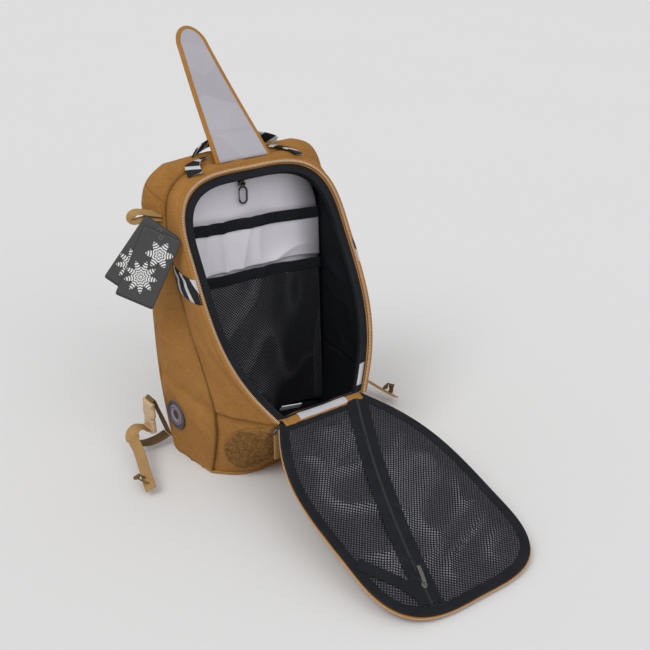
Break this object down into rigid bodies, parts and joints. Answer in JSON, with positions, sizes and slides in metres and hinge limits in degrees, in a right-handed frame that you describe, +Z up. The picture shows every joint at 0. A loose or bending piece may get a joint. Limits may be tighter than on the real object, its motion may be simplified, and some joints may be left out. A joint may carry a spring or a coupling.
{
  "type": "clamshell day pack",
  "caption": "Soft clamshell day pack standing open: tilted front opening with a hinged lid, a long top tongue, inner mesh pockets, padded straps and side-release buckles.",
  "frame": {"origin": "centre of the base panel's underside, on the ground", "axes": "+Z up, +X to the viewer's right, the opening faces -Y and the carrying side faces +Y"},
  "size_m": [0.5298, 0.7718, 0.6812],
  "materials": {
    "shell_fabric": "woven, coated",
    "back_mesh": "spacer mesh",
    "coil_teeth": "satin coil",
    "black_tape": "ribbed tape",
    "black_mesh": "open mesh",
    "grey_lining": "smooth coated cloth",
    "label_white": "satin",
    "zip_metal": "satin",
    "pull_fabric": "webbing",
    "black_cord": "webbing",
    "clip_black": "satin",
    "port_dark": "matte",
    "port_grey": "matte",
    "loop_pile": "fuzzy loop",
    "striped_webbing": "woven, pale diagonal stripes",
    "card_black": "laminated card",
    "buckle_plastic": "satin moulding",
    "strap_webbing": "flat webbing"
  },
  "bodies": {
    "pack": {"anchor_webbing_left": "strap_webbing", "anchor_webbing_right": "strap_webbing", "back_lining": "grey_lining", "back_pad": "back_mesh", "back_panel": "back_mesh", "base_panel": "shell_fabric", "buckle_socket_left": "buckle_plastic", "buckle_socket_right": "buckle_plastic", "chest_socket": "buckle_plastic", "chest_webbing_right": "strap_webbing", "front_gusset": "shell_fabric", "hinge_label": "label_white", "hinge_strip": "shell_fabric", "key_tape": "black_tape", "lash_webbing_left": "striped_webbing", "lash_webbing_right": "striped_webbing", "loop_patch": "loop_pile", "lower_front_panel": "shell_fabric", "main_slider_left": "zip_metal", "main_slider_right": "zip_metal", "mesh_pocket": "black_mesh", "mesh_pocket_binding": "black_tape", "opening_binding": "black_tape", "opening_zip_teeth": "coil_teeth", "port_face": "port_grey", "port_ring": "port_dark", "shoulder_strap_left": "back_mesh", "shoulder_strap_right": "back_mesh", "side_panel_left": "shell_fabric", "side_panel_right": "shell_fabric", "slip_pocket": "grey_lining", "slip_pocket_binding": "black_tape", "strap_webbing_left": "strap_webbing", "strap_webbing_right": "strap_webbing", "top_panel": "shell_fabric"},
    "lid": {"lid_panel": "shell_fabric", "lid_zip_teeth": "coil_teeth", "lid_binding": "black_tape", "lid_mesh": "black_mesh", "lid_pocket_zip": "black_tape"},
    "lid_pocket_slider": {"lid_pocket_slider": "zip_metal", "lid_pocket_pull": "black_cord"},
    "tongue": {"tongue_panel": "shell_fabric", "tongue_lining": "grey_lining"},
    "handle": {"grab_handle": "striped_webbing"},
    "pull_left": {"pull_tab_left": "pull_fabric"},
    "pull_right": {"pull_tab_right": "pull_fabric"},
    "key_clip": {"key_clip": "clip_black"},
    "key_gate": {"key_clip_gate": "clip_black"},
    "plug_left": {"buckle_plug_left": "buckle_plastic", "strap_loop_left": "strap_webbing", "strap_tail_left": "strap_webbing"},
    "plug_right": {"buckle_plug_right": "buckle_plastic", "strap_loop_right": "strap_webbing", "strap_tail_right": "strap_webbing"},
    "chest_plug": {"chest_plug": "buckle_plastic", "chest_webbing_left": "strap_webbing"},
    "tag_front": {"hang_tag_front": "card_black"},
    "tag_rear": {"hang_tag_rear": "card_black"}
  },
  "joints": [
    {"name": "lid_hinge", "type": "hinge", "parent": "pack", "child": "lid", "pos_m": [0, -0.147, 0.132], "axis": [-1, 0, 0], "range_deg": [0, 136.6]},
    {"name": "lid_pocket_zip_travel", "type": "hinge", "parent": "lid", "child": "lid_pocket_slider", "pos_m": [1.40811, -0.85748, -0.09474], "axis": [0, -0.304, 0.9527], "range_deg": [-12.2, 0]},
    {"name": "tongue_fold", "type": "hinge", "parent": "pack", "child": "tongue", "pos_m": [0, 0.05196, 0.49506], "axis": [1, 0, 0], "range_deg": [0, 193.8]},
    {"name": "handle_swing", "type": "hinge", "parent": "pack", "child": "handle", "pos_m": [0, 0.091, 0.5045], "axis": [-1, 0, 0], "range_deg": [0, 6]},
    {"name": "pull_left_swing", "type": "hinge", "parent": "pack", "child": "pull_left", "pos_m": [-0.084, -0.13897, 0.10767], "axis": [-1, 0, 0], "range_deg": [-12, 45]},
    {"name": "pull_right_swing", "type": "hinge", "parent": "pack", "child": "pull_right", "pos_m": [0.084, -0.13897, 0.10767], "axis": [-1, 0, 0], "range_deg": [-12, 45]},
    {"name": "key_clip_swing", "type": "hinge", "parent": "pack", "child": "key_clip", "pos_m": [0.005, 0.08449, 0.4423], "axis": [-1, 0, 0], "range_deg": [0, 60]},
    {"name": "key_gate_spring", "type": "hinge", "parent": "key_clip", "child": "key_gate", "pos_m": [-0.0022, 0.08372, 0.42312], "axis": [0, 0.9992, -0.0405], "range_deg": [0, 20], "stiffness_Nm_per_rad": 0.01},
    {"name": "buckle_left_release", "type": "slide", "parent": "pack", "child": "plug_left", "axis": [0, 0, -1], "range_m": [0, 0.012]},
    {"name": "buckle_right_release", "type": "slide", "parent": "pack", "child": "plug_right", "axis": [0, 0, -1], "range_m": [0, 0.012]},
    {"name": "chest_buckle_release", "type": "slide", "parent": "pack", "child": "chest_plug", "axis": [-1, 0, 0], "range_m": [0, 0.018]},
    {"name": "tag_front_swing", "type": "hinge", "parent": "pack", "child": "tag_front", "pos_m": [-0.18, 0.02, 0.412], "axis": [-0.5327, -0.7332, 0.4226], "range_deg": [-8, 25]},
    {"name": "tag_rear_swing", "type": "hinge", "parent": "pack", "child": "tag_rear", "pos_m": [-0.1775, 0.027, 0.421], "axis": [-0.5327, -0.7332, 0.4226], "range_deg": [-8, 12]}
  ]
}
